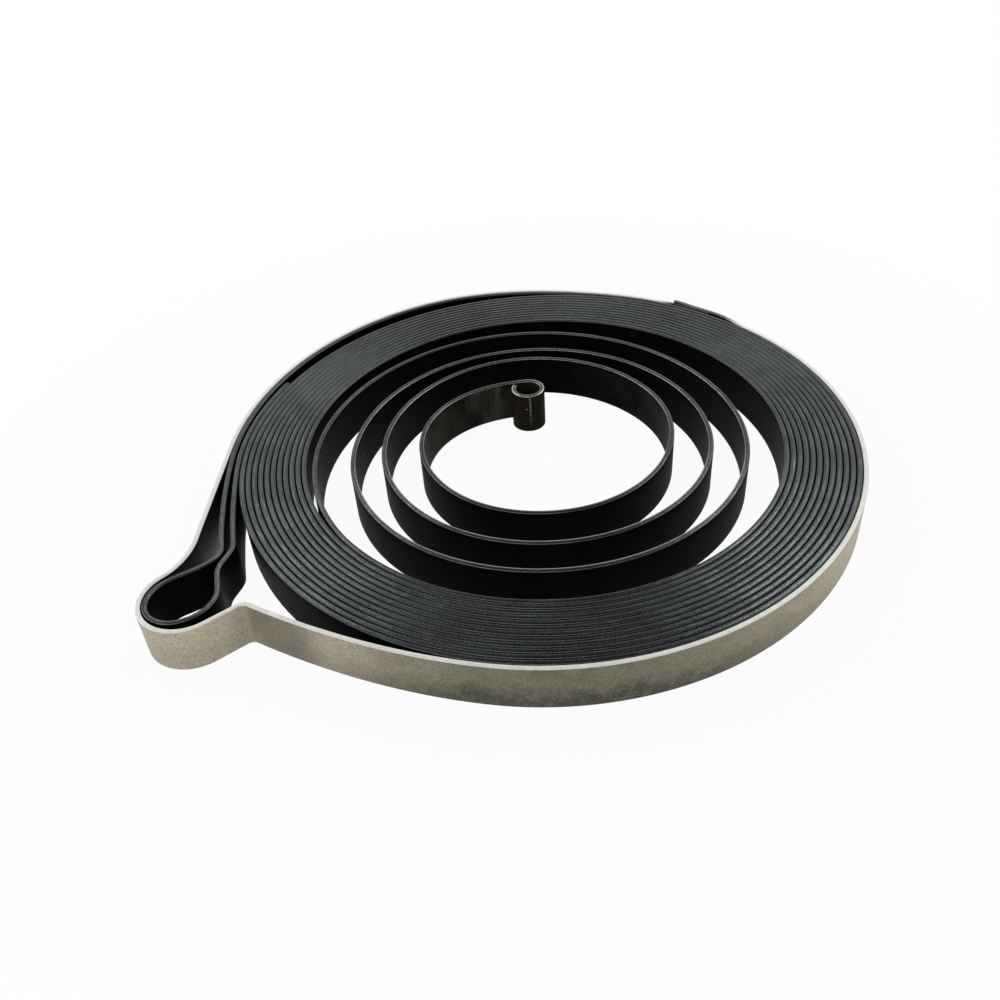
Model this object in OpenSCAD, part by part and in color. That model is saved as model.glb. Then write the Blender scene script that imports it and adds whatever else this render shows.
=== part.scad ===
// Recoil starter spring: a flat spring-steel strip wound on edge into a
// tight coil, with a rolled eye at its inner end and a hook loop at its
// outer end, held wound by a bright steel retaining band.
// Units are millimetres. The coil axis is Z and the strip stands on z = 0.

/* [Strip] */
// Width of the spring strip, which is the height of the coil
strip_w = 6; // [4:0.1:10]
// Thickness of the spring strip
strip_t = 0.65; // [0.3:0.05:0.9]
// Air gap between neighbouring turns of the tight coil
turn_gap = 0.15; // [0.05:0.01:0.4]

/* [Tight coil] */
// Radius of the strip's middle where the tight coil starts
coil_r = 31; // [29:0.1:45]
// Turns in the tight coil
coil_turns = 12; // [4:1:18]

/* [Free turns] */
// Radius of the innermost free turn
free_r1 = 16.2; // [14:0.1:18]
// Radius of the second free turn
free_r2 = 21.5; // [19.5:0.1:23]
// Radius of the third free turn
free_r3 = 26.3; // [24.5:0.1:27.5]
// Radius at which the strip runs into the eye
eye_reach = 14.1; // [12:0.1:15]

/* [Inner eye] */
// Inside radius of the rolled eye
eye_r = 1.7; // [1:0.05:2.5]
// Angle that the strip is rolled round the eye
eye_sweep = 300; // [272:1:303]

/* [Outer hook] */
// Mean inside radius of the hook loop
loop_r = 3.6; // [2.5:0.1:4.5]
// Distance from the coil's outside to the centre of the hook loop
loop_out = 9.5; // [9:0.1:12]
// Distance from the coil's outside to the inner leg at the neck of the loop
neck_out = 1.45; // [1.2:0.05:2.5]
// Air gap between the two legs at the neck of the loop
neck_gap = 0.8; // [0.3:0.05:1.2]
// How far the last turn bows off the coil before it reaches the legs
bow = 1.9; // [1.4:0.05:3]
// Length of the tail that lies back on the coil, as an angle
tail_angle = 23; // [5:1:50]

/* [Retaining band] */
// Width of the band
band_w = 6; // [4:0.1:10]
// Thickness of the band
band_t = 0.6; // [0.3:0.05:0.8]
// Clearance between the band and the coil
band_gap = 0.1; // [0.05:0.01:0.3]
// Clearance between the band and the hook loop
band_loop_gap = 0.15; // [0.1:0.05:0.6]
// Straight run of the band from the loop to its inward corner
corner_run = 4; // [3.4:0.1:5]
// Bend radius of the inward corner, at the middle of the band
corner_r = 1.2; // [0.8:0.1:2]
// Overlap of the band's ends, as an angle
lap_angle = 9; // [8:1:30]
// How far the outer end's tip stands off
lap_flare = 0.4; // [0:0.05:1]
// Diameter of the spot weld that joins the two ends
weld_d = 2.4; // [1.5:0.1:4]

/* [Hidden] */

// Angles are measured along the strip from +X, growing outwards, so one turn
// of the coil adds 360.
pitch = strip_t + turn_gap;
eye_angle = 99;
// The roll is drawn this much too tight and cut true by the mandrel.
mandrel_bite = 0.02;
cut_past = 1;
coil_angle = 1260;
leg_angle = coil_angle + 360 * coil_turns;
// The free turns pass through stations this far apart. Each list is how far
// one turn strays from its radius at its stations, the last how far the strip
// is short of the tight coil as it runs into it.
station_step = 60;
stray_1 = [-0.1, 0, -0.25, 0.25, 2.05];
stray_2 = [-1.2, -0.5, 0.05, 0, 0.4, 0.3];
stray_3 = [-3.45, -1.8, -0.2, -0.05, 0.2, 0];
stray_in = [-3.1, -1.45];
// The last turn lifts off the coil, peaks and settles on the tail.
bow_from = leg_angle - 106;
bow_peak = leg_angle - 62;
bow_end = pitch + turn_gap;
// The hook loop's place and the span of its round part.
coil_out = coil_r + pitch * coil_turns + strip_t / 2;
loop_angle = 214.8;
loop_c = polar(coil_out + loop_out, loop_angle);
loop_mid_r = loop_r + strip_t / 2;
// The loop is a little oval: this much longer along one direction, and shorter across it.
loop_oval = 0.2;
loop_oval_angle = 222;
loop_from = loop_angle - 95;
loop_to = loop_angle + 160;
neck_angle = 207.8;
// Each leg lies on the turn under it at first, then leaves it at this angle
// past the start of the legs and reaches the neck at the span.
neck_span = neck_angle - 180;
inner_leave = 8;
outer_leave = 4;
// The throat is where the loop's inner side bends towards the neck.
throat_angle = 212.3;
throat_out = 4.35;
throat_heading = 92;
// The band's run beside the legs, round the loop and back to the coil. Its bulge
// is not centred on the loop: it stands off on the front side.
band_shift = 0.42;
band_shift_angle = 338;
band_c = loop_c + polar(band_shift, band_shift_angle);
band_mid_r = loop_mid_r + strip_t / 2 + band_loop_gap + band_shift + band_t / 2;
band_straight = 19;
band_from = loop_angle - 80;
band_to = loop_angle + 94;
corner_turn = 67.5;
touch_angle = leg_angle - 280;
// The lap: the outer end steps over the inner end within the ramp, which ends
// this far short of it, and its tip flares out.
lap_gap = 0.05;
lap_start = leg_angle - 130;
lap_ramp = 9;
lap_short = 1;
flare_span = 6;
// Angle between sampled points on the coil, and how many points a short run has.
coil_step = 5;
lap_step = 1.5;
curve_steps = 12;
leg_steps = 10;
tail_steps = ceil(tail_angle / coil_step);
round_step = 9;
loop_steps = 28;

function polar(r, a) = [r * cos(a), r * sin(a)];
function unit(v) = v / norm(v);
function smooth(u) = u <= 0 ? 0 : u >= 1 ? 1 : u * u * (3 - 2 * u);
function ramp(a, from, to) = smooth((a - from) / (to - from));

// Radius of the tight coil's law at an angle
function coil_law(a) = coil_r + pitch * (a - coil_angle) / 360;

// Radii at the stations from the eye to the tight coil, with one more at each end
stations = concat(
    [eye_reach, eye_reach],
    [for (v = stray_1) free_r1 + v],
    [for (v = stray_2) free_r2 + v],
    [for (v = stray_3) free_r3 + v],
    [for (v = stray_in) coil_r + v]
);
free_end = eye_angle + station_step * (len(stations) - 1);
free_r = concat(stations, [coil_law(free_end), coil_law(free_end + station_step)]);

// Radius of the free turns: a smooth run through the stations
function free_law(a) =
    let (k = floor((a - eye_angle) / station_step),
         u = (a - eye_angle) / station_step - k,
         p = [for (i = [0:3]) free_r[k + i]])
    p[1] + u / 2 * (p[2] - p[0]
        + u * (2 * p[0] - 5 * p[1] + 4 * p[2] - p[3]
        + u * (3 * p[1] - p[0] - 3 * p[2] + p[3])));

// How far the last turn stands off the coil's law
function bow_law(a) =
    bow * ramp(a, bow_from, bow_peak) - (bow - bow_end) * ramp(a, bow_peak, leg_angle);

function strip_r(a) = (a < free_end ? free_law(a) : coil_law(a)) + bow_law(a);

// Radius of the hook loop's middle at an angle round its centre, and how far its
// heading leans outwards there
function loop_law(a) = loop_mid_r + loop_oval * cos(2 * (a - loop_oval_angle));
function loop_lean(a) = atan(-2 * loop_oval * sin(2 * (a - loop_oval_angle)) / loop_law(a));
function loop_point(a) = loop_c + polar(loop_law(a), a);
function loop_heading(a) = a + 90 - loop_lean(a);

// Points of an arc from angle a0 to angle a1 without its first point
function arc(c, r, a0, a1) =
    let (n = max(2, ceil(abs(a1 - a0) / round_step)))
    [for (i = [1:n]) c + polar(r, a0 + (a1 - a0) * i / n)];

// Points of a smooth curve between two points with given headings, without
// its first point
function curve(p0, h0, p1, h1) =
    let (d = norm(p1 - p0), m0 = polar(d, h0), m1 = polar(d, h1))
    [for (i = [1:curve_steps])
        let (u = i / curve_steps, v = 1 - u)
        v * v * (1 + 2 * u) * p0 + u * v * v * m0 + u * u * (1 + 2 * v) * p1 - u * u * v * m1];

// Outline of a strip of thickness t whose middle follows the points p
function strip_outline(p, t) =
    let (last = len(p) - 1,
         d = [for (i = [0:last]) unit(p[min(i + 1, last)] - p[max(i - 1, 0)])],
         s = [for (v = d) [-v.y, v.x] * t / 2])
    concat([for (i = [0:last]) p[i] + s[i]], [for (i = [last:-1:0]) p[i] - s[i]]);

// The eye: the strip is rolled clockwise on a round mandrel from its first point
eye_start = polar(strip_r(eye_angle), eye_angle);
eye_next = polar(strip_r(eye_angle + 1), eye_angle + 1);
eye_side = unit(eye_next - eye_start);
eye_mid_r = eye_r + strip_t / 2 - mandrel_bite;
eye_c = eye_start + eye_mid_r * [-eye_side.y, eye_side.x];
eye_turn = atan2(eye_start.y - eye_c.y, eye_start.x - eye_c.x);

// The hook: outer leg, loop and inner leg with its tail lying on the coil
neck_in_r = coil_out + neck_out;
neck_outer_r = neck_in_r + strip_t + neck_gap;
neck_in = polar(neck_in_r, neck_angle);
neck_outer = polar(neck_outer_r, neck_angle);

// Radius of a leg that lies d over the coil's law and rises to r at the neck,
// and the angle at which it climbs there
function leg_rise(d, r) = r - d - coil_law(leg_angle + neck_span);
function leg_law(a, d, r, leave) =
    let (u = max(0, a - leave) / (neck_span - leave))
    coil_law(leg_angle + a) + d + leg_rise(d, r) * u * u;
function leg_climb(d, r, leave) = atan(2 * leg_rise(d, r) / (neck_span - leave) * 180 / PI / r);
neck_in_heading = neck_angle - 90 - leg_climb(0, neck_in_r, inner_leave);
neck_heading = neck_angle + 90 - leg_climb(bow_end, neck_outer_r, outer_leave);
throat = polar(coil_out + throat_out, throat_angle);

function spring_path() = concat(
    [for (i = [ceil(eye_sweep / round_step):-1:1])
        eye_c + polar(eye_mid_r, eye_turn - eye_sweep * i / ceil(eye_sweep / round_step))],
    [eye_start],
    [for (a = [coil_step * ceil((eye_angle + 1) / coil_step):coil_step:leg_angle]) polar(strip_r(a), a)],
    [for (i = [1:leg_steps]) let (a = neck_span * i / leg_steps)
        polar(leg_law(a, bow_end, neck_outer_r, outer_leave), leg_angle + a)],
    curve(neck_outer, neck_heading, loop_point(loop_from), loop_heading(loop_from)),
    [for (i = [1:loop_steps]) loop_point(loop_from + (loop_to - loop_from) * i / loop_steps)],
    curve(loop_point(loop_to), loop_heading(loop_to), throat, throat_heading),
    curve(throat, throat_heading, neck_in, neck_in_heading),
    [for (i = [leg_steps - 1:-1:0]) let (a = neck_span * i / leg_steps)
        polar(leg_law(a, 0, neck_in_r, inner_leave), leg_angle + a)],
    [for (i = [1:tail_steps]) let (a = leg_angle - tail_angle * i / tail_steps) polar(coil_law(a), a)]
);

// Radius of the band's middle where it lies on the coil or on the last turn
function band_law(a) = coil_law(a) + bow_law(a) + strip_t / 2 + band_gap + band_t / 2;
function lap_law(a) =
    band_law(a) + (band_t + lap_gap) * ramp(a, lap_start - lap_short - lap_ramp, lap_start - lap_short)
    + lap_flare * ramp(a, lap_start + lap_angle - flare_span, lap_start + lap_angle);

band_side = polar(band_law(leg_angle), leg_angle);
band_knee = band_side - [0, band_straight];
band_loop_in = band_c + polar(band_mid_r, band_from);
band_loop_out = band_c + polar(band_mid_r, band_to);
corner_heading = band_to + 90;
corner_in = band_loop_out + polar(corner_run, corner_heading);
corner_c = corner_in + polar(corner_r, corner_heading - 90);
corner_out = corner_c + polar(corner_r, corner_heading + 90 - corner_turn);
touch = polar(band_law(touch_angle), touch_angle);

function band_path() = concat(
    [for (a = [lap_start:coil_step:leg_angle]) polar(band_law(a), a)],
    [band_knee],
    curve(band_knee, leg_angle + 90, band_loop_in, band_from + 90),
    arc(band_c, band_mid_r, band_from, band_to),
    [corner_in],
    arc(corner_c, corner_r, corner_heading + 90, corner_heading + 90 - corner_turn),
    curve(corner_out, corner_heading - corner_turn, touch, touch_angle + 90),
    [for (a = [touch_angle + coil_step:coil_step:lap_start - lap_short - lap_ramp]) polar(band_law(a), a)],
    [for (a = [lap_start - lap_ramp:lap_step:lap_start + lap_angle]) polar(lap_law(a), a)]
);

// Blued spring steel, one continuous strip from the eye to the tail
module spiral_spring() {
    color([0.09, 0.09, 0.1])
    difference() {
        linear_extrude(strip_w) polygon(strip_outline(spring_path(), strip_t));
        translate([eye_c.x, eye_c.y, -cut_past])
        cylinder(r = eye_r, h = strip_w + 2 * cut_past, $fn = 48);
    }
}

// Spot weld between the lapped ends, from the middle of one to the middle of the other
module spot_weld() {
    a = lap_start + lap_angle / 2;
    rotate([0, 0, a])
    translate([band_law(a), 0, band_w / 2])
    rotate([0, 90, 0])
    cylinder(d = weld_d, h = band_t + lap_gap, $fn = 32);
}

// Bright steel strip, bent round the coil and the hook and spot welded on itself
module retaining_band() {
    color([0.68, 0.66, 0.62])
    union() {
        linear_extrude(band_w) polygon(strip_outline(band_path(), band_t));
        spot_weld();
    }
}

spiral_spring();
retaining_band();
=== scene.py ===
import math
import bpy
from mathutils import Matrix, Vector


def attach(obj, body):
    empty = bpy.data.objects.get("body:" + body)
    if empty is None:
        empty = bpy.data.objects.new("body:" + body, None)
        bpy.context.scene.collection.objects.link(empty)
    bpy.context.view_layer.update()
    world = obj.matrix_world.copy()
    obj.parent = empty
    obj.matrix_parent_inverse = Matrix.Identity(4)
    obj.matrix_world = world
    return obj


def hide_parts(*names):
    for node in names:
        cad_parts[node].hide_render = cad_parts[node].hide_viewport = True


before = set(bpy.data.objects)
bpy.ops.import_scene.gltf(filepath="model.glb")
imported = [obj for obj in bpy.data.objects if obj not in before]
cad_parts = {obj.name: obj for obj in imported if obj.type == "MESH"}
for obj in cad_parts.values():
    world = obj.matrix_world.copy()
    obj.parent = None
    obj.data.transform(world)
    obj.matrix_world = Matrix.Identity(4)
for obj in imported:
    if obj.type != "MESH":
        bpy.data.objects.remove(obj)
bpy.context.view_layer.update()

# Spiral spring: one strip of blued spring steel standing on edge. It is rolled into a small eye at the inner
# end, wound through three loose turns into the tight coil, and folded into a teardrop hook whose tail is
# tucked back under the last turn. Sizes are in millimetres and degrees along the strip.
mm = 0.001
strip_w = 6.0
strip_t = 0.65
strip_edge_r = 0.16
turn_gap = 0.15
pitch = strip_t + turn_gap
coil_r = 31.0
coil_turns = 12
coil_angle = 1260
leg_angle = coil_angle + 360 * coil_turns
eye_r = 1.7
eye_angle = 99
eye_reach = 14.1
eye_sweep = 300
station_step = 60
free_turns = [
    (16.2, [-0.1, 0, -0.25, 0.25, 2.05]),
    (21.5, [-1.2, -0.5, 0.05, 0, 0.4, 0.3]),
    (26.3, [-3.45, -1.8, -0.2, -0.05, 0.2, 0]),
    (coil_r, [-3.1, -1.45]),
]
bow = 1.9
bow_from = leg_angle - 106
bow_peak = leg_angle - 62
bow_end = pitch + turn_gap
coil_out = coil_r + pitch * coil_turns + strip_t / 2
loop_r = 3.6
loop_out = 9.5
loop_oval = 0.2
loop_oval_angle = 222
loop_angle = 214.8
loop_from = loop_angle - 95
loop_to = loop_angle + 160
loop_mid_r = loop_r + strip_t / 2
neck_angle = 207.8
neck_span = neck_angle - 180
neck_out = 1.45
neck_gap = 0.8
neck_in_r = coil_out + neck_out
neck_outer_r = neck_in_r + strip_t + neck_gap
inner_leave = 8
outer_leave = 4
throat_angle = 212.3
throat_out = 4.35
throat_heading = 92
tail_angle = 23

# How finely the strip's path is drawn: degrees for each step of the eye and the turns, and numbers of steps.
eye_step = 5
turn_step = 2.5
leg_steps = 14
neck_steps = 20
loop_steps = 48
throat_steps = 12
tail_steps = 10


def polar(r, a):
    return Vector((r * math.cos(math.radians(a)), r * math.sin(math.radians(a))))


def steps(start, stop, count):
    """The values after start, up to and with stop."""
    return [start + (stop - start) * i / count for i in range(1, count + 1)]


def ramp(a, start, stop):
    """0 up to start, 1 from stop on, eased at both ends."""
    u = min(1.0, max(0.0, (a - start) / (stop - start)))
    return u * u * (3 - 2 * u)


def coil_law(a):
    return coil_r + pitch * (a - coil_angle) / 360


stations = [eye_reach, eye_reach]
for turn_r, strays in free_turns:
    stations += [turn_r + stray for stray in strays]
free_end = eye_angle + station_step * (len(stations) - 1)
stations += [coil_law(free_end), coil_law(free_end + station_step)]


def free_law(a):
    """A smooth run through the radii of the free turns' stations."""
    k, u = divmod((a - eye_angle) / station_step, 1)
    p, q, r, s = stations[int(k):int(k) + 4]
    return q + u / 2 * (r - p + u * (2 * p - 5 * q + 4 * r - s + u * (3 * q - p - 3 * r + s)))


def bow_law(a):
    """How far the last turn bows off the coil."""
    return bow * ramp(a, bow_from, bow_peak) - (bow - bow_end) * ramp(a, bow_peak, leg_angle)


def strip_law(a):
    return (free_law(a) if a < free_end else coil_law(a)) + bow_law(a)


def leg_rise(lift, neck_r):
    return neck_r - lift - coil_law(leg_angle + neck_span)


def leg_law(a, lift, neck_r, leave):
    """A leg lies on the turn under it, then climbs to the neck of the hook."""
    u = max(0.0, a - leave) / (neck_span - leave)
    return coil_law(leg_angle + a) + lift + leg_rise(lift, neck_r) * u * u


def leg_climb(lift, neck_r, leave):
    """The slope of a leg at the neck, in degrees."""
    return math.degrees(math.atan(2 * leg_rise(lift, neck_r) / math.radians(neck_span - leave) / neck_r))


def loop_law(a):
    return loop_mid_r + loop_oval * math.cos(math.radians(2 * (a - loop_oval_angle)))


def loop_point(a):
    return loop_c + polar(loop_law(a), a)


def loop_heading(a):
    slope = -2 * loop_oval * math.sin(math.radians(2 * (a - loop_oval_angle)))
    return a + 90 - math.degrees(math.atan(slope / loop_law(a)))


def bend(start, heading, end, end_heading, count):
    """A smooth curve between two points with given headings, without its first point."""
    reach = (end - start).length
    m, n = polar(reach, heading), polar(reach, end_heading)
    points = []
    for u in steps(0, 1, count):
        v = 1 - u
        points.append(start * v * v * (1 + 2 * u) + m * u * v * v + end * u * u * (1 + 2 * v) - n * u * u * v)
    return points


eye_start = polar(strip_law(eye_angle), eye_angle)
eye_way = (polar(strip_law(eye_angle + 1), eye_angle + 1) - eye_start).normalized()
eye_mid_r = eye_r + strip_t / 2
eye_c = eye_start + Vector((-eye_way.y, eye_way.x)) * eye_mid_r
eye_turn = math.degrees(math.atan2(eye_start.y - eye_c.y, eye_start.x - eye_c.x))
eye_tip = eye_turn - eye_sweep
loop_c = polar(coil_out + loop_out, loop_angle)
throat = polar(coil_out + throat_out, throat_angle)
neck_in = polar(neck_in_r, neck_angle)
neck_outer = polar(neck_outer_r, neck_angle)
neck_in_heading = neck_angle - 90 - leg_climb(0, neck_in_r, inner_leave)
neck_heading = neck_angle + 90 - leg_climb(bow_end, neck_outer_r, outer_leave)

spring_path = [eye_c + polar(eye_mid_r, a)
               for a in steps(eye_tip - eye_step, eye_turn - eye_step, eye_sweep // eye_step)]
spring_path += [eye_start]
spring_path += [polar(strip_law(a), a)
                for a in steps(eye_angle, leg_angle, int((leg_angle - eye_angle) / turn_step))]
spring_path += [polar(leg_law(a, bow_end, neck_outer_r, outer_leave), leg_angle + a)
                for a in steps(0, neck_span, leg_steps)]
spring_path += bend(neck_outer, neck_heading, loop_point(loop_from), loop_heading(loop_from), neck_steps)
spring_path += [loop_point(a) for a in steps(loop_from, loop_to, loop_steps)]
spring_path += bend(loop_point(loop_to), loop_heading(loop_to), throat, throat_heading, throat_steps)
spring_path += bend(throat, throat_heading, neck_in, neck_in_heading, throat_steps)
spring_path += [polar(leg_law(neck_span - a, 0, neck_in_r, inner_leave), leg_angle + neck_span - a)
                for a in steps(0, neck_span, leg_steps)]
spring_path += [polar(coil_law(leg_angle - a), leg_angle - a) for a in steps(0, tail_angle, tail_steps)]


class Wire:
    """A node's output that Python sums can use: each operator adds a Math node."""

    def __init__(self, wiring, socket):
        self.wiring = wiring
        self.socket = socket

    def maths(self, operation, *values):
        return self.wiring.node("ShaderNodeMath", {"operation": operation}, dict(enumerate(values)))

    def __add__(self, other):
        return self.maths("ADD", self, other)

    def __radd__(self, other):
        return self.maths("ADD", other, self)

    def __sub__(self, other):
        return self.maths("SUBTRACT", self, other)

    def __rsub__(self, other):
        return self.maths("SUBTRACT", other, self)

    def __mul__(self, other):
        return self.maths("MULTIPLY", self, other)

    def __truediv__(self, other):
        return self.maths("DIVIDE", self, other)

    def __gt__(self, other):
        return self.maths("GREATER_THAN", self, other)

    def __lt__(self, other):
        return self.maths("LESS_THAN", self, other)

    def __abs__(self):
        return self.maths("ABSOLUTE", self)

    def part(self, name):
        """Another output of the same node."""
        return Wire(self.wiring, self.socket.node.outputs[name])


class Wiring:
    """A node tree, with one method that adds a node, its settings, and its sockets' values or links."""

    def __init__(self, tree):
        self.tree = tree
        tree.nodes.clear()

    def node(self, kind, settings=None, sockets=None, out=0):
        made = self.tree.nodes.new(kind)
        for name, value in (settings or {}).items():
            setattr(made, name, value)
        for name, value in (sockets or {}).items():
            if isinstance(value, Wire):
                self.tree.links.new(value.socket, made.inputs[name])
            else:
                made.inputs[name].default_value = value
        return Wire(self, made.outputs[out] if made.outputs else None)

    def fade(self, value, start, stop):
        """0 at start, 1 at stop, eased at both ends."""
        return self.node("ShaderNodeMapRange", {"interpolation_type": "SMOOTHSTEP"},
                         {"Value": value, "From Min": start, "From Max": stop})

    def blend(self, factor, a, b):
        """A colour mixed from two by a factor."""
        made = self.node("ShaderNodeMix", {"data_type": "RGBA"}, {"Factor": factor}, 2)
        for name, value in ((6, a), (7, b)):
            if isinstance(value, Wire):
                self.tree.links.new(value.socket, made.socket.node.inputs[name])
            else:
                made.socket.node.inputs[name].default_value = (*value, 1)
        return made

    def noise(self, vector, scale, detail, rough=0.55):
        return self.node("ShaderNodeTexNoise", None,
                         {"Vector": vector, "Scale": scale, "Detail": detail, "Roughness": rough})

    def strip_places(self):
        """A point's place in millimetres, its x, y and z, its run along the strip and its side of it."""
        place = self.node("ShaderNodeTexCoord", None, None, "Object")
        place = self.node("ShaderNodeVectorMath", {"operation": "SCALE"}, {0: place, "Scale": 1 / mm})
        xyz = self.node("ShaderNodeSeparateXYZ", None, {0: place})
        run = self.node("ShaderNodeAttribute", {"attribute_name": "run"}, None, "Fac") * (1 / mm)
        side = self.node("ShaderNodeAttribute", {"attribute_name": "side"}, None, "Fac")
        return place, xyz.part("X"), xyz.part("Y"), xyz.part("Z"), run, side


# The tree that makes a strip on edge: it rounds a rectangle of the strip's section, keeps the flat walls flat
# with cuts across them, and sweeps it along the path. It notes how far along the strip each point is, and
# on which side of it: 1 on the outer wall and -1 on the inner wall.
rounding_steps = 4
strip_tree = bpy.data.node_groups.new("strip_on_edge", "GeometryNodeTree")
for name, kind in (("Path", "NodeSocketGeometry"), ("Width", "NodeSocketFloat"),
                   ("Thickness", "NodeSocketFloat"), ("Edge radius", "NodeSocketFloat"),
                   ("Wall cuts", "NodeSocketInt"), ("Finish", "NodeSocketMaterial")):
    strip_tree.interface.new_socket(name, in_out="INPUT", socket_type=kind)
strip_tree.interface.new_socket("Strip", in_out="OUTPUT", socket_type="NodeSocketGeometry")
g = Wiring(strip_tree)
given = g.node("NodeGroupInput")
width = given.part("Width")
section = g.node("GeometryNodeCurvePrimitiveQuadrilateral", None,
                 {"Width": given.part("Thickness"), "Height": width})
section = g.node("GeometryNodeFilletCurve", {"mode": "POLY"},
                 {"Curve": section, "Radius": given.part("Edge radius"), "Count": rounding_steps})
here = g.node("GeometryNodeInputPosition")
following = g.node("GeometryNodeOffsetPointInCurve", None, {"Offset": 1}, "Point Index")
there = g.node("GeometryNodeFieldAtIndex", {"data_type": "FLOAT_VECTOR", "domain": "POINT"},
               {"Index": following, "Value": here})
stretch = g.node("ShaderNodeVectorMath", {"operation": "DISTANCE"}, {0: here, 1: there}, "Value")
section = g.node("GeometryNodeSubdivideCurve", None,
                 {"Curve": section, "Cuts": (stretch > width / 2) * given.part("Wall cuts")})
across = g.node("ShaderNodeSeparateXYZ", None, {0: here}) * 2 / given.part("Thickness")
section = g.node("GeometryNodeStoreNamedAttribute", {"data_type": "FLOAT", "domain": "POINT"},
                 {"Geometry": section, "Name": "side", "Value": across})
path = g.node("GeometryNodeMeshToCurve", None, {"Mesh": given.part("Path")})
path = g.node("GeometryNodeSetCurveNormal", {"mode": "Z_UP"}, {"Curve": path})
along = g.node("GeometryNodeSplineParameter", None, None, "Length")
path = g.node("GeometryNodeStoreNamedAttribute", {"data_type": "FLOAT", "domain": "POINT"},
              {"Geometry": path, "Name": "run", "Value": along})
strip = g.node("GeometryNodeCurveToMesh", None, {"Curve": path, "Profile Curve": section, "Fill Caps": True})
strip = g.node("GeometryNodeSetShadeSmooth", None, {"Geometry": strip})
strip = g.node("GeometryNodeRealizeInstances", None, {"Geometry": strip})
strip = g.node("GeometryNodeSetMaterial", None, {"Geometry": strip, "Material": given.part("Finish")})
g.node("NodeGroupOutput", None, {"Strip": strip})


def swept_strip(name, points, finish, width, thickness, edge_r):
    """A strip on edge whose lower edge lies at z = 0, as a plain mesh piece."""
    wall_cuts = 6
    rows = [(p.x * mm, p.y * mm, width * mm / 2) for p in points]
    line = bpy.data.meshes.new(name + "_path")
    line.from_pydata(rows, [(i, i + 1) for i in range(len(rows) - 1)], [])
    piece = bpy.data.objects.new(name, line)
    bpy.context.scene.collection.objects.link(piece)
    sweep = piece.modifiers.new("strip", "NODES")
    sweep.node_group = strip_tree
    values = {"Width": width * mm, "Thickness": thickness * mm, "Edge radius": edge_r * mm,
              "Wall cuts": wall_cuts, "Finish": finish}
    for item in strip_tree.interface.items_tree:
        if item.in_out == "INPUT" and item.name in values:
            sweep[item.identifier] = values[item.name]
    bpy.context.view_layer.update()
    shape = bpy.data.meshes.new_from_object(piece.evaluated_get(bpy.context.evaluated_depsgraph_get()))
    piece.modifiers.remove(sweep)
    piece.data = shape
    return piece


blued = bpy.data.materials.new("blued_spring_steel")
blued.use_nodes = True
w = Wiring(blued.node_tree)
place, _, y, z, run, side = w.strip_places()
cloud = w.noise(place, 0.22, 4)
fine = w.noise(place, 9.0, 2)
grit = w.noise(place, 3.2, 3, 0.7)

# The walls are nearly black. The first turn, where the bluing is thinner, is smoky olive inside, with wiped
# streaks beside the eye, and the eye is brown outside.
thick_oxide = (0.0006, 0.0006, 0.0007)
thin_oxide = (0.0032, 0.003, 0.0027)
smoky_olive = (0.024, 0.0225, 0.018)
wiped_grey = (0.055, 0.05, 0.04)
rolled_brown = (0.0155, 0.0125, 0.0095)
inside = side < -0.5
streak_place = w.node("ShaderNodeCombineXYZ", None, {"X": run * 0.55, "Y": z * 0.16, "Z": 0})
streak = w.noise(streak_place, 1.0, 4, 0.65)
first_turn = 1 - w.fade(run, 60, 115)
smoke = first_turn * w.fade(cloud * 0.8 + streak * 0.2, 0.3, 0.62) * inside
wiped = w.fade(run, 12.5, 15) * (1 - w.fade(run, 17, 21)) * w.fade(streak, 0.42, 0.58) * inside
rolled = (1 - w.fade(run, 10, 12)) * (side > 0.5) * w.fade(grit, 0.25, 0.6)
wall_colour = w.blend(w.fade(cloud, 0.35, 0.7), thick_oxide, thin_oxide)
wall_colour = w.blend(smoke, wall_colour, smoky_olive)
wall_colour = w.blend(wiped * 0.85, wall_colour, wiped_grey)
wall_colour = w.blend(rolled, wall_colour, rolled_brown)

# The sheared edges are satin grey, with fine scratches along them, and brighter along their corners, where
# the bluing has worn off. The loose turns are rubbed bare along the inner corner and the eye along the outer.
satin_dark = (0.055, 0.06, 0.061)
satin_light = (0.105, 0.116, 0.117)
worn_corner = (0.115, 0.126, 0.126)
scratched = (0.24, 0.255, 0.25)
rubbed_bare = (0.34, 0.325, 0.26)
rubbed_front = (0.42, 0.4, 0.31)
rubbed_eye = (0.5, 0.47, 0.38)
edge_blur = 0.1
edge_from = strip_w / 2 - strip_edge_r
edge = w.fade(abs(z - strip_w / 2), edge_from, edge_from + edge_blur)
corner = edge * w.fade(abs(side), 0.6, 0.9)
worn = w.fade(cloud * 0.45 + grit * 0.55, 0.34, 0.66)
scratch_place = w.node("ShaderNodeCombineXYZ", None, {"X": run * 0.35, "Y": side * 1.2, "Z": 0})
scratch = w.fade(w.noise(scratch_place, 1.0, 3), 0.54, 0.72)
loose = 1 - w.fade(run, 380, 420)
bare_corner = corner * (side < 0) * loose * w.fade(grit, 0.3, 0.55)
bare_front = w.fade(side, -0.1, -0.6) * (1 - w.fade(y, -12, -2)) * loose * w.fade(grit, 0.2, 0.5)
bare_eye = w.fade(side, 0.0, 0.6) * (1 - w.fade(run, 9, 13)) * w.fade(grit, 0.25, 0.5)
edge_colour = w.blend(worn, satin_dark, satin_light)
edge_colour = w.blend(corner * w.fade(fine, 0.3, 0.6), edge_colour, worn_corner)
edge_colour = w.blend(scratch * 0.5, edge_colour, scratched)
edge_colour = w.blend(bare_corner, edge_colour, rubbed_bare)
edge_colour = w.blend(bare_front, edge_colour, rubbed_front)
edge_colour = w.blend(bare_eye, edge_colour, rubbed_eye)
colour = w.blend(edge, wall_colour, edge_colour)

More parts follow.
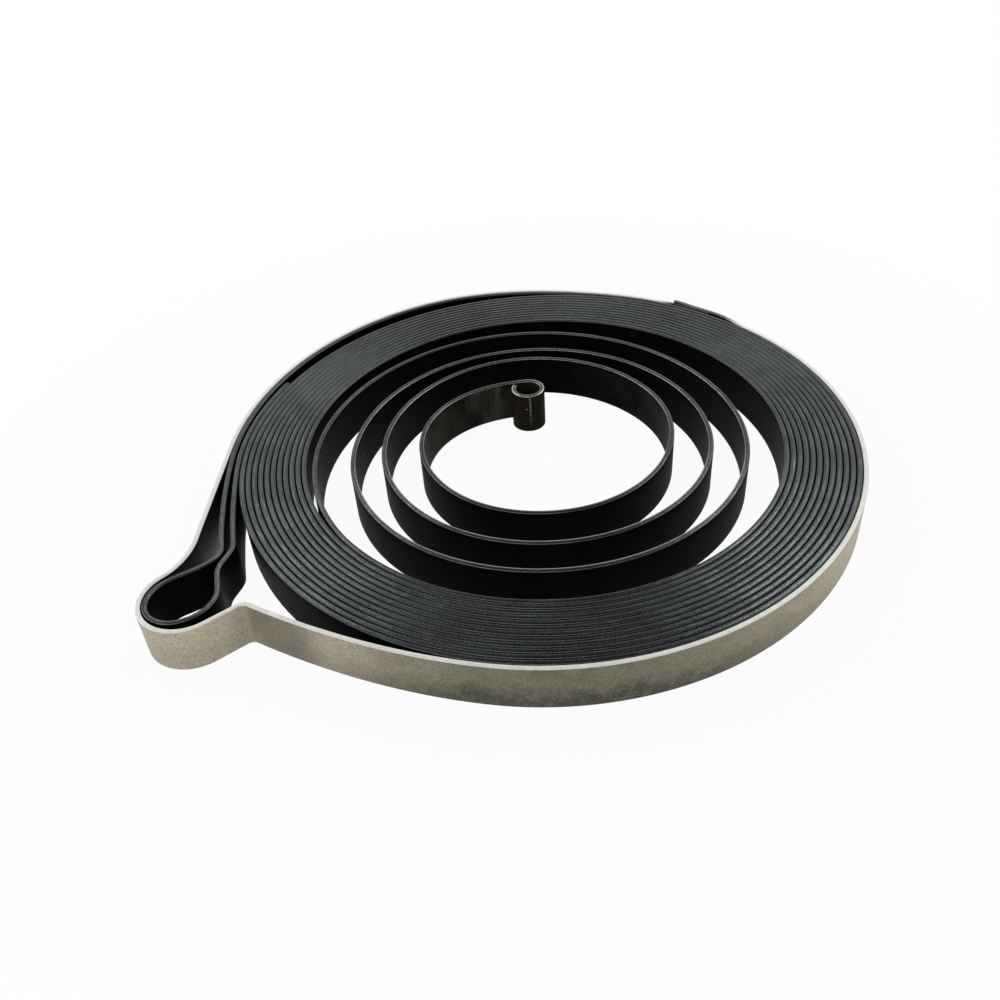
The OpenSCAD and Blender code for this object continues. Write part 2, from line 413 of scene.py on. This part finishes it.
# A crease down the front of the eye, where the roll was closed, drawn as a painted highlight line that is
# brightest towards the top, and a few pale specks of grit.
crease_highlight_grey = (0.16, 0.155, 0.13)
speck_pale = (0.45, 0.45, 0.42)
crease_angle = 121
crease_run = math.radians(crease_angle) * eye_mid_r
# Painted highlight along the crease, fading out towards the bottom.
crease_highlight = (1 - w.fade(abs(run - crease_run), 0.05, 0.16)) * w.fade(grit, 0.3, 0.55) * w.fade(z, 0.5, 4)
cell = w.node("ShaderNodeTexVoronoi", {"feature": "F1"},
              {"Vector": place, "Scale": 0.45, "Randomness": 1.0}, "Distance")
pick = w.node("ShaderNodeSeparateColor", None, {0: cell.part("Color")})
speck = (cell < 0.035) * (pick > 0.9)
colour = w.blend(crease_highlight, colour, crease_highlight_grey)
colour = w.blend(speck, colour, speck_pale)
bump = w.node("ShaderNodeBump", None,
              {"Strength": 0.25, "Distance": 0.03 * mm, "Height": fine * 0.5 + grit * 0.5})
steel = w.node("ShaderNodeBsdfPrincipled", None, {
    "Base Color": colour, "Metallic": edge * (1 - speck), "Roughness": 0.5 - edge * 0.27 + fine * 0.08,
    "Specular IOR Level": 0.02, "Normal": bump})
w.node("ShaderNodeOutputMaterial", None, {"Surface": steel})

spring = swept_strip("spiral_spring_strip", spring_path, blued, strip_w, strip_t, strip_edge_r)
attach(spring, "root")
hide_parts("spiral_spring")

# Retaining band: one strip of bare steel bent round the coil and the hook, with an inward corner beside the
# hook. Its ends lap at the back right, where a spot weld joins them and has tinted the steel.
band_w = 6.0
band_t = 0.6
band_edge_r = 0.14
band_gap = 0.1
band_loop_gap = 0.15
band_shift = 0.42
band_shift_angle = 338
band_c = loop_c + polar(band_shift, band_shift_angle)
band_mid_r = loop_mid_r + strip_t / 2 + band_loop_gap + band_shift + band_t / 2
band_straight = 19
band_from = loop_angle - 80
band_to = loop_angle + 94
corner_run = 4
corner_r = 1.2
corner_turn = 67.5
touch_angle = leg_angle - 280
lap_angle = 9
lap_start = leg_angle - 130
lap_end = lap_start + lap_angle
lap_tuck = 2
lap_short = 1
lap_ramp = 9
lap_climb = lap_start - lap_ramp - lap_short
lap_gap = 0.05
lap_flare = 0.4
flare_span = 6

# Numbers of steps along the band's path.
back_steps = 66
straight_steps = 6
knee_steps = 20
wrap_steps = 40
corner_steps = 12
reach_steps = 24
front_steps = 70
lap_steps = 26


def band_law(a):
    return coil_law(a) + bow_law(a) + strip_t / 2 + band_gap + band_t / 2


def lap_law(a):
    """The outer end steps over the inner end, and its tip stands off."""
    step = (band_t + lap_gap) * ramp(a, lap_climb, lap_start - lap_short)
    return band_law(a) + step + lap_flare * ramp(a, lap_end - flare_span, lap_end)


band_side = polar(band_law(leg_angle), leg_angle)
band_knee = band_side - Vector((0, band_straight))
band_loop_in = band_c + polar(band_mid_r, band_from)
corner_heading = band_to + 90
corner_in = band_c + polar(band_mid_r, band_to) + polar(corner_run, corner_heading)
corner_c = corner_in + polar(corner_r, corner_heading - 90)
corner_out = corner_c + polar(corner_r, corner_heading + 90 - corner_turn)
front_heading = corner_heading - corner_turn
touch = polar(band_law(touch_angle), touch_angle)

band_path = [polar(band_law(a), a) for a in steps(lap_start - lap_tuck, leg_angle, back_steps)]
band_path += [band_side - Vector((0, band_straight * u)) for u in steps(0, 1, straight_steps)]
band_path += bend(band_knee, leg_angle + 90, band_loop_in, band_from + 90, knee_steps)
band_path += [band_c + polar(band_mid_r, a) for a in steps(band_from, band_to, wrap_steps)]
band_path += [corner_in]
band_path += [corner_c + polar(corner_r, a)
              for a in steps(corner_heading + 90, corner_heading + 90 - corner_turn, corner_steps)]
band_path += bend(corner_out, front_heading, touch, touch_angle + 90, reach_steps)
band_path += [polar(band_law(a), a) for a in steps(touch_angle, lap_climb, front_steps)]
band_path += [polar(lap_law(a), a) for a in steps(lap_climb, lap_end, lap_steps)]
band_length = sum((q - p).length for p, q in zip(band_path, band_path[1:]))

bare = bpy.data.materials.new("bright_band_steel")
bare.use_nodes = True
w = Wiring(bare.node_tree)
place, x, y, z, run, side = w.strip_places()
cloud = w.noise(place, 0.16, 5, 0.6)
mottle = w.noise(place, 0.9, 4, 0.65)
grit = w.noise(place, 5.0, 3, 0.7)

# The outer face is beige, painted dull olive along the front as painted shade and paler towards the sides as
# painted light, with painted shade darkening its lower half. It is mottled all over, with dark and light
# grit.
lit_side_beige = (0.56, 0.495, 0.375)
front_shade_olive = (0.19, 0.186, 0.125)
lower_shade_dark = (0.025, 0.023, 0.016)
dark_patch = (0.075, 0.072, 0.048)
mottle_grey = (0.26, 0.25, 0.18)
dark_grit = (0.09, 0.086, 0.062)
light_grit = (0.56, 0.54, 0.46)
front_bearing = -90
bearing = x.maths("ARCTAN2", y, x) * (180 / math.pi)
# Painted shade: the face is darker along the front and paler towards the sides.
front = 1 - w.fade(abs(bearing - front_bearing), 8, 44 + (bearing > front_bearing) * 22)
# Painted shade: the face darkens towards its lower edge.
lower_shade = 1 - w.fade(z + (cloud - 0.5) * 8 + (mottle - 0.5) * 3, 0.4, 4.6)
face_colour = w.blend(front, lit_side_beige, front_shade_olive)
face_colour = w.blend(lower_shade * (0.15 + front * 0.7), face_colour, lower_shade_dark)
face_colour = w.blend(w.fade(cloud, 0.5, 0.66) * front * 0.45, face_colour, dark_patch)
face_colour = w.blend(w.fade(mottle, 0.42, 0.7) * 0.25, face_colour, mottle_grey)
face_colour = w.blend(w.fade(grit, 0.44, 0.64) * 0.42, face_colour, dark_grit)
face_colour = w.blend((1 - w.fade(grit, 0.3, 0.44)) * 0.35, face_colour, light_grit)


def near(spot, reach):
    """1 at a point of the plan and 0 from reach on, with a ragged border."""
    plan = w.node("ShaderNodeCombineXYZ", None, {"X": x, "Y": y, "Z": 0})
    away = w.node("ShaderNodeVectorMath", {"operation": "DISTANCE"}, {0: plan, 1: (*spot, 0)}, "Value")
    return 1 - w.fade(away + (mottle - 0.5) * reach * 0.6, reach * 0.25, reach)


# The face is darker beside the inward corner, the whole inner face is painted near black as painted shade,
# and the weld has blued the lap.
corner_dark = (0.08, 0.07, 0.056)
heat_straw = (0.10, 0.075, 0.05)
heat_blue = (0.035, 0.05, 0.075)
inner_face_shade = (0.012, 0.0115, 0.011)
weld_angle = lap_start + lap_angle / 2
weld_at = polar(band_law(weld_angle), weld_angle)
corner_dark_run = 4
corner_dark_at = corner_out + polar(corner_dark_run, front_heading)
# Darker beside the inward corner.
face_colour = w.blend(near(corner_dark_at, 7) * 0.65, face_colour, corner_dark)
face_colour = w.blend(near(weld_at, 9) * 0.75, face_colour, heat_straw)
face_colour = w.blend(near(weld_at, 5) * 0.85, face_colour, heat_blue)
# Painted shade over the whole inner face.
face_colour = w.blend(side < -0.5, face_colour, inner_face_shade)

# The sheared edges are bright, with a painted highlight that makes them brightest at the back. The inner end
# is painted near black as painted shade where it lies in the lap, and the outer end is tinted by the weld.
bright_dull = (0.80, 0.795, 0.73)
bright_clean = (0.88, 0.875, 0.83)
back_highlight_white = (0.95, 0.95, 0.94)
lap_end_shade = (0.010, 0.009, 0.008)
end_tint = (0.08, 0.088, 0.1)
band_edge_blur = 0.11
band_edge_from = band_w / 2 - band_edge_r
edge = w.fade(abs(z - band_w / 2), band_edge_from, band_edge_from + band_edge_blur)
edge_colour = w.blend(w.fade(mottle, 0.4, 0.7), bright_dull, bright_clean)
# Painted highlight: the edges are lighter towards the back.
edge_colour = w.blend(w.fade(y, -5, 25), edge_colour, back_highlight_white)
# Painted shade: the inner end's edge, tucked in the lap, is near black.
edge_colour = w.blend(1 - w.fade(run, 6, 9), edge_colour, lap_end_shade)
edge_colour = w.blend(w.fade(run, band_length - 13, band_length - 9) * 0.9, edge_colour, end_tint)
colour = w.blend(edge, face_colour, edge_colour)
bump = w.node("ShaderNodeBump", None,
              {"Strength": 0.3, "Distance": 0.04 * mm, "Height": mottle * 0.5 + grit * 0.5})
steel = w.node("ShaderNodeBsdfPrincipled", None, {
    "Base Color": colour, "Metallic": 0.45 - edge * 0.2, "Roughness": 0.48 - edge * 0.1 + grit * 0.1,
    "Specular IOR Level": 0.3, "Normal": bump})
w.node("ShaderNodeOutputMaterial", None, {"Surface": steel})

band = swept_strip("retaining_band_strip", band_path, bare, band_w, band_t, band_edge_r)
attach(band, "root")
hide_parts("retaining_band")

# Studio: a plain pale floor under the spring, which keeps a soft shadow near it and is white further off,
# white walls under a darker ceiling, and soft lamps on both sides, behind and in front. Sizes are in metres.
floor_half = 3.0
floor_z = -0.00005
floor_grey = (0.88, 0.88, 0.88, 1)
white = (1, 1, 1, 1)
shadow_share = 0.06
shadow_from = 0.045
shadow_to = 0.11
fill = 0.45
ceiling_drop = 0.98
ceiling_from = 0.47
ceiling_to = 0.69
lamps = (
    ("left", (-0.40, 0.11, 0.30), 0.35, 0.45),
    ("right", (0.40, 0.11, 0.30), 0.35, 0.45),
    ("back left", (-0.21, 0.45, 0.49), 0.09, 0.19),
    ("back right", (0.22, 0.43, 0.50), 0.09, 0.32),
    ("front", (-0.18, -0.42, 0.34), 0.6, 0.8),
)


def in_sight(w):
    """1 for what the camera sees, straight or in metal and glass, and 0 for light on the object."""
    rays = w.node("ShaderNodeLightPath")
    seen = rays.maths("MAXIMUM", rays.part("Is Camera Ray"), rays.part("Is Glossy Ray"))
    return seen.maths("MAXIMUM", seen, rays.part("Is Transmission Ray"))


floor_shape = bpy.data.meshes.new("floor")
floor_corners = [(u * floor_half, v * floor_half, floor_z) for u, v in ((-1, -1), (1, -1), (1, 1), (-1, 1))]
floor_shape.from_pydata(floor_corners, [], [(0, 1, 2, 3)])
floor = bpy.data.objects.new("floor", floor_shape)
bpy.context.scene.collection.objects.link(floor)
pale = bpy.data.materials.new("pale_floor")
pale.use_nodes = True
w = Wiring(pale.node_tree)
place = w.node("ShaderNodeTexCoord", None, None, "Object")
away = w.node("ShaderNodeVectorMath", {"operation": "LENGTH"}, {0: place}, "Value")
glow_share = 1 - shadow_share + w.fade(away, shadow_from, shadow_to) * shadow_share
matt = w.node("ShaderNodeBsdfDiffuse", None, {"Color": floor_grey})
glow = w.node("ShaderNodeEmission", None, {"Color": white, "Strength": 1.0})
mixed = w.node("ShaderNodeMixShader", None, {0: in_sight(w) * glow_share, 1: matt, 2: glow})
w.node("ShaderNodeOutputMaterial", None, {"Surface": mixed})
floor_shape.materials.append(pale)

world = bpy.data.worlds.new("studio")
world.use_nodes = True
bpy.context.scene.world = world
w = Wiring(world.node_tree)
way = w.node("ShaderNodeSeparateXYZ", None, {0: w.node("ShaderNodeTexCoord", None, None, "Generated")})
ceiling = w.fade(way.part("Z"), ceiling_from, ceiling_to)
sky = w.node("ShaderNodeBackground", None,
             {"Color": white, "Strength": fill + in_sight(w) * (1 - fill - ceiling * ceiling_drop)})
w.node("ShaderNodeOutputWorld", None, {"Surface": sky})

for name, spot, size, power in lamps:
    lamp_data = bpy.data.lights.new(name, "AREA")
    lamp_data.size = size
    lamp_data.energy = power
    lamp = bpy.data.objects.new(name, lamp_data)
    lamp.location = spot
    lamp.rotation_mode = "QUATERNION"
    lamp.rotation_quaternion = (-Vector(spot)).to_track_quat("-Z", "Y")
    bpy.context.scene.collection.objects.link(lamp)

# Camera: where the photograph was taken from, close above the front of the spring. Angles are in radians.
view_px = 997.36
image_px = 1000
sensor_mm = 36
camera_at = Vector((0, -0.10882, 0.08270))
camera_pitch = 0.6762
camera_yaw = -0.059
camera_roll = -0.0718
ahead = Vector((math.sin(camera_yaw) * math.cos(camera_pitch), math.cos(camera_yaw) * math.cos(camera_pitch),
                -math.sin(camera_pitch)))
level = Vector((math.cos(camera_yaw), -math.sin(camera_yaw), 0))
above = level.cross(ahead)
right = level * math.cos(camera_roll) + above * math.sin(camera_roll)
up = above * math.cos(camera_roll) - level * math.sin(camera_roll)
camera_data = bpy.data.cameras.new("camera")
camera_data.sensor_width = sensor_mm
camera_data.lens = sensor_mm * view_px / image_px
camera_data.clip_start = 0.005
camera = bpy.data.objects.new("camera", camera_data)
turned = Matrix((right, up, -ahead)).transposed().to_4x4()
turned.translation = camera_at
camera.matrix_world = turned
bpy.context.scene.collection.objects.link(camera)
bpy.context.scene.camera = camera
bpy.context.scene.view_settings.view_transform = "Standard"
